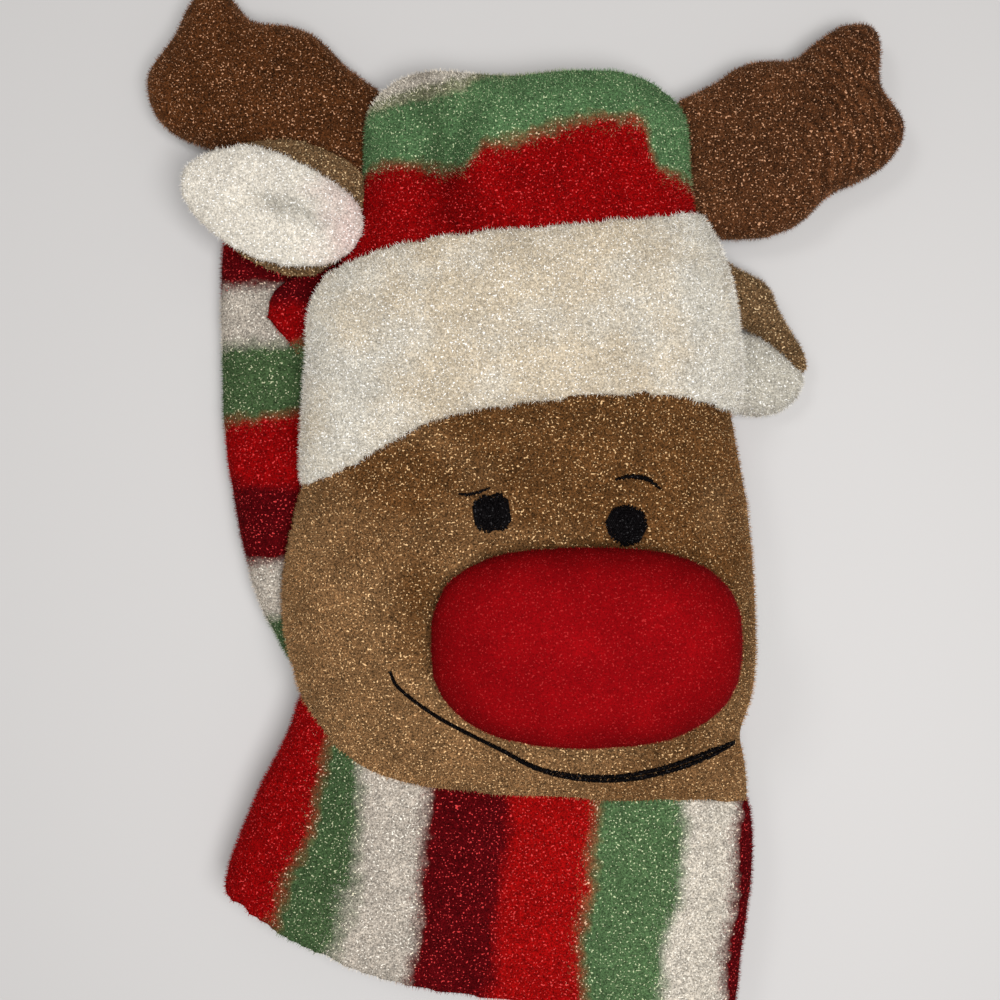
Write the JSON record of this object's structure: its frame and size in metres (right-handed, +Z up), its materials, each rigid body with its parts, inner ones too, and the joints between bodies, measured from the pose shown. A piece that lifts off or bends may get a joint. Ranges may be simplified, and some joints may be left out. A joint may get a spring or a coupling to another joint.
{
  "type": "fleece christmas mitten shaped as a reindeer's head",
  "caption": "Hollow fleece Christmas mitten: a stuffed-nose reindeer head with striped hat, white band, antlers, ears, thumb and a striped wrist cuff, lying palm down.",
  "frame": {"origin": "on the palm's flat underside, 60 mm from the wrist line towards the fingertips, in the middle of the hand", "axes": "+Y along the hand to the fingertips, +Z up from the palm through the face, +X to the side away from the thumb"},
  "size_m": [0.2053, 0.2804, 0.057],
  "materials": {
    "striped_fleece": "short-pile fleece in red, dark red, green and white stripes",
    "white_fleece": "thick off-white fleece",
    "brown_fleece": "golden brown short-pile fleece",
    "dark_brown_fleece": "dark brown short-pile fleece, stuffed",
    "tan_fleece": "tan short-pile fleece",
    "red_felt": "smooth bright red felt, stuffed",
    "black_thread": "black embroidery thread"
  },
  "bodies": {
    "root": {"palm": "striped_fleece", "thumb": "striped_fleece", "hat_crown": "striped_fleece", "wrist_cuff": "striped_fleece", "hat_band": "white_fleece", "ear_left_front": "white_fleece", "ear_right_front": "white_fleece", "face": "brown_fleece", "antler_left": "dark_brown_fleece", "antler_right": "dark_brown_fleece", "ear_left_back": "tan_fleece", "ear_right_back": "tan_fleece", "nose": "red_felt", "eye_left": "black_thread", "eye_right": "black_thread", "mouth": "black_thread"}
  },
  "joints": []
}
